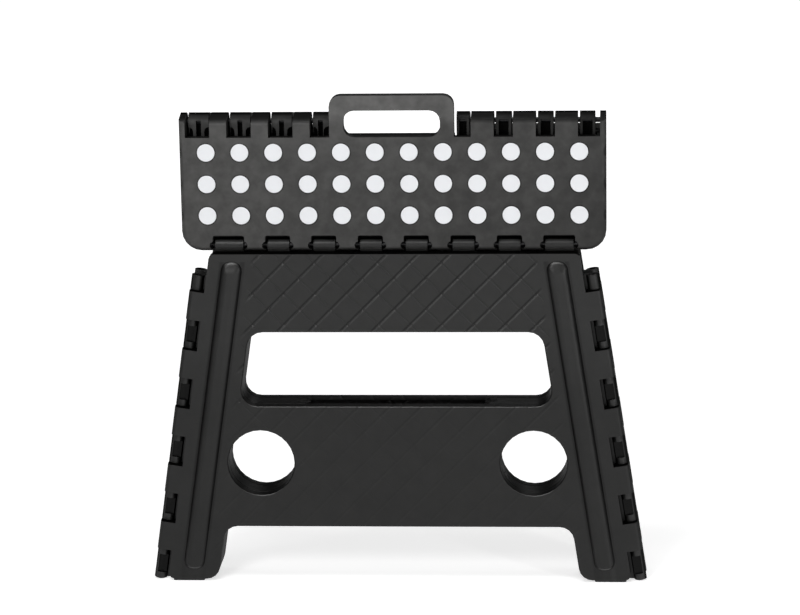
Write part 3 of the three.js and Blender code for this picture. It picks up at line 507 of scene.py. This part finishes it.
def dot_ring_painted_shade(n, place):
    """Painted shade: a dark line round each grip dot, where its seat dips."""
    x, _, z = n.axes(place)
    rise = n.math("SUBTRACT", z, DOT_MIDDLE_Z)
    across = n.math("SUBTRACT", DOT_PITCH_X / 2, n.math("PINGPONG", x, DOT_PITCH_X / 2))
    up = n.math("PINGPONG", rise, DOT_PITCH_Z / 2)
    span = n.math("SQRT", n.math("MULTIPLY_ADD", across, across, n.math("MULTIPLY", up, up)))
    ring = n.ramp(span, (DOT_RADIUS, DOT_RADIUS + RING_WIDTH), RING_SHADE, smooth=True)
    rows = n.math("LESS_THAN", n.math("ABSOLUTE", rise), DOT_PITCH_Z * DOT_ROWS / 2)
    return n.math("MULTIPLY_ADD", ring, rows, 1)


def hook_painted_shade(n, place):
    """Painted shade: the knuckles behind the face, seen through the notches along the top, are darkened by depth,
    as they lie in shade.
    """
    _, y, _ = n.axes(place)
    depth = n.math("ABSOLUTE", y)
    slots = n.ramp(depth, SLOT_DEPTH, SLOT_LEVEL, smooth=True)
    return n.math("MULTIPLY", slots, n.ramp(depth, BACK_DEPTH, BACK_LEVEL, smooth=True))


def tops(n, place):
    """Painted shade: rims that turn up or down are darkened, as they gather less light than the face."""
    _, _, z = n.normal_axes()
    return n.ramp(n.math("ABSOLUTE", z), RIM_SLOPE, RIM_LEVEL, smooth=True)


def handle_tone(n, place):
    """The handle is paler and shinier towards its top."""
    x, _, z = n.axes(place)
    middle = n.math("LESS_THAN", n.math("ABSOLUTE", x), HANDLE_HALF_WIDTH)
    return n.math("MULTIPLY_ADD", n.ramp(z, HANDLE_RISE, HANDLE_PALE_LEVEL, smooth=True), middle, 1)


def wavy(n, place, normal):
    """The platform's face is bowed a little and draws in between its dots."""
    x, _, z = n.axes(place)
    across = n.math("MULTIPLY", n.math("MULTIPLY", x, x), BOW_ACROSS)
    rise = n.math("SUBTRACT", z, DOT_MIDDLE_Z)
    upward = n.math("MULTIPLY", n.math("MULTIPLY", rise, rise), BOW_UP)
    bow = n.bump(n.math("ADD", across, upward), 1, normal)
    return n.bump(n.noise(place, PLATFORM_PILLOW_SCALE, 1), PLATFORM_PILLOW_HEIGHT, bow)


# ---- CAD shells: round edges and smooth barrels ----
SHELL_ROUND = 0.6 * MM
SMALL_ROUND = 0.2 * MM
SEAM = 0.002 * MM
FLAT_ANGLE = math.radians(0.4)
EDGE_ANGLE = math.radians(50)
SMOOTH_ANGLE = math.radians(44)


def smooth_group():
    """A geometry group that shades smooth across edges below an angle."""
    group = bpy.data.node_groups.new("smooth_by_angle", "GeometryNodeTree")
    group.interface.new_socket("Geometry", in_out="INPUT", socket_type="NodeSocketGeometry")
    group.interface.new_socket("Geometry", in_out="OUTPUT", socket_type="NodeSocketGeometry")
    group.is_modifier = True
    entry = group.nodes.new("NodeGroupInput")
    end = group.nodes.new("NodeGroupOutput")
    faces = group.nodes.new("GeometryNodeSetShadeSmooth")
    faces.domain = "FACE"
    edges = group.nodes.new("GeometryNodeSetShadeSmooth")
    edges.domain = "EDGE"
    edges.inputs["Shade Smooth"].default_value = False
    angle = group.nodes.new("GeometryNodeInputMeshEdgeAngle")
    sharp = group.nodes.new("FunctionNodeCompare")
    sharp.data_type = "FLOAT"
    sharp.operation = "GREATER_THAN"
    sharp.inputs["B"].default_value = SMOOTH_ANGLE
    group.links.new(entry.outputs[0], faces.inputs["Geometry"])
    group.links.new(faces.outputs[0], edges.inputs["Geometry"])
    group.links.new(angle.outputs["Unsigned Angle"], sharp.inputs["A"])
    group.links.new(sharp.outputs[0], edges.inputs["Selection"])
    group.links.new(edges.outputs[0], end.inputs[0])
    return group


def finish_shell(node, edge_round, smoothing):
    weld = node.modifiers.new("weld", "WELD")
    weld.merge_threshold = SEAM
    flat = node.modifiers.new("flat", "DECIMATE")
    flat.decimate_type = "DISSOLVE"
    flat.angle_limit = FLAT_ANGLE
    bevel = node.modifiers.new("edges", "BEVEL")
    bevel.limit_method = "ANGLE"
    bevel.angle_limit = EDGE_ANGLE
    bevel.width = edge_round
    bevel.segments = 2
    bevel.use_clamp_overlap = True
    smooth = node.modifiers.new("smooth", "NODES")
    smooth.node_group = smoothing
    even = node.modifiers.new("even", "WEIGHTED_NORMAL")
    even.keep_sharp = True


# ---- Grip dots ----
def dot_profile():
    """Radius and Y of each ring: a straight side from inside the platform, then a rolled edge."""
    profile = [(DOT_RADIUS, DOT_SINK)]
    for i in range(DOT_EDGE_STEPS + 1):
        turn = math.pi / 2 * i / DOT_EDGE_STEPS
        inward = DOT_HEIGHT * (1 - math.cos(turn))
        profile.append((DOT_RADIUS - inward, -DOT_HEIGHT * math.sin(turn)))
    return profile


def dot_mesh():
    """A low round pad with a rolled edge, its face towards -Y."""
    mesh = bpy.data.meshes.new("grip_dot")
    shape = bmesh.new()
    rings = []
    for radius, y in dot_profile():
        ring = []
        for k in range(DOT_SIDES):
            angle = 2 * math.pi * k / DOT_SIDES
            ring.append(shape.verts.new((radius * math.cos(angle), y, radius * math.sin(angle))))
        rings.append(ring)
    for lower, upper in zip(rings, rings[1:]):
        for k in range(DOT_SIDES):
            after = (k + 1) % DOT_SIDES
            shape.faces.new((lower[k], lower[after], upper[after], upper[k]))
    shape.faces.new(rings[-1])
    shape.faces.new(list(reversed(rings[0])))
    bmesh.ops.recalc_face_normals(shape, faces=shape.faces)
    for part in shape.faces:
        part.smooth = len(part.verts) == 4
    shape.to_mesh(mesh)
    shape.free()
    return mesh


def add_dots(material):
    mesh = dot_mesh()
    mesh.materials.append(material)
    for end, turn in (("front", 0), ("back", math.pi)):
        for row in range(DOT_ROWS):
            for column in range(DOT_COLUMNS):
                x = (column - (DOT_COLUMNS - 1) / 2) * DOT_PITCH_X
                z = DOT_MIDDLE_Z + ((DOT_ROWS - 1) / 2 - row) * DOT_PITCH_Z
                if end == "back" and row == 0 and abs(x) < HANDLE_HALF_WIDTH + DOT_RADIUS:
                    continue  # the cut-out for the handle takes these places
                dot = bpy.data.objects.new(f"grip_dot_{end}_{row + 1}_{column + 1}", mesh)
                bpy.context.scene.collection.objects.link(dot)
                dot.matrix_world = Matrix.Rotation(turn, 4, "Z") @ Matrix.Translation((x, FACE_Y, z))
                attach(dot, "platform_" + end)


# ---- Build ----
bpy.context.scene.view_settings.view_transform = "Standard"
make_camera()
make_world()
make_floor()
for lamp in LAMPS:
    soft_box(*lamp)

BLACK = (0.0098, 0.0098, 0.0095)
finishes = {
    "platform": moulded(
        "platform_plastic",
        colour=(0.0375, 0.037, 0.0359),
        roughness=0.44,
        wall_painted_shade=0.6,
        turn=(0.2, 0.6),
        sinks=wavy,
        tones=[platform_painted_light_and_mottle, dot_ring_painted_shade, hook_painted_shade, tops, handle_tone],
    ),
    "leg": moulded(
        "leg_plastic",
        colour=BLACK,
        roughness=0.42,
        wall_painted_shade=0.13,
        sinks=quilted,
        tones=[flank_painted_shade, sink_mark_painted_light, leg_painted_shade, edge_painted_highlight],
    ),
    "side": moulded(
        "side_plastic",
        colour=BLACK,
        roughness=0.4,
        wall_painted_shade=0.16,
        sinks=pillowed,
        tones=[pockets, edge_painted_highlight],
    ),
    "pin": moulded("hinge_pin", colour=(0.01, 0.01, 0.011), roughness=0.35, wall_painted_shade=0.6),
    "pad": soft_rubber("foot_rubber", colour=(0.016, 0.016, 0.018), roughness=0.8, grain_scale=900),
}
smoothing = smooth_group()
for name, node in nodes.items():
    kind = "pin" if "pin" in name else "pad" if "pad" in name else name.split("_")[0]
    node.data.materials.clear()
    node.data.materials.append(finishes[kind])
    edge_round = SHELL_ROUND if kind in ("platform", "leg", "side") else SMALL_ROUND
    finish_shell(node, edge_round, smoothing)

add_dots(soft_rubber("grip_dot", colour=(0.785, 0.797, 0.82), roughness=0.6, grain_scale=1200))
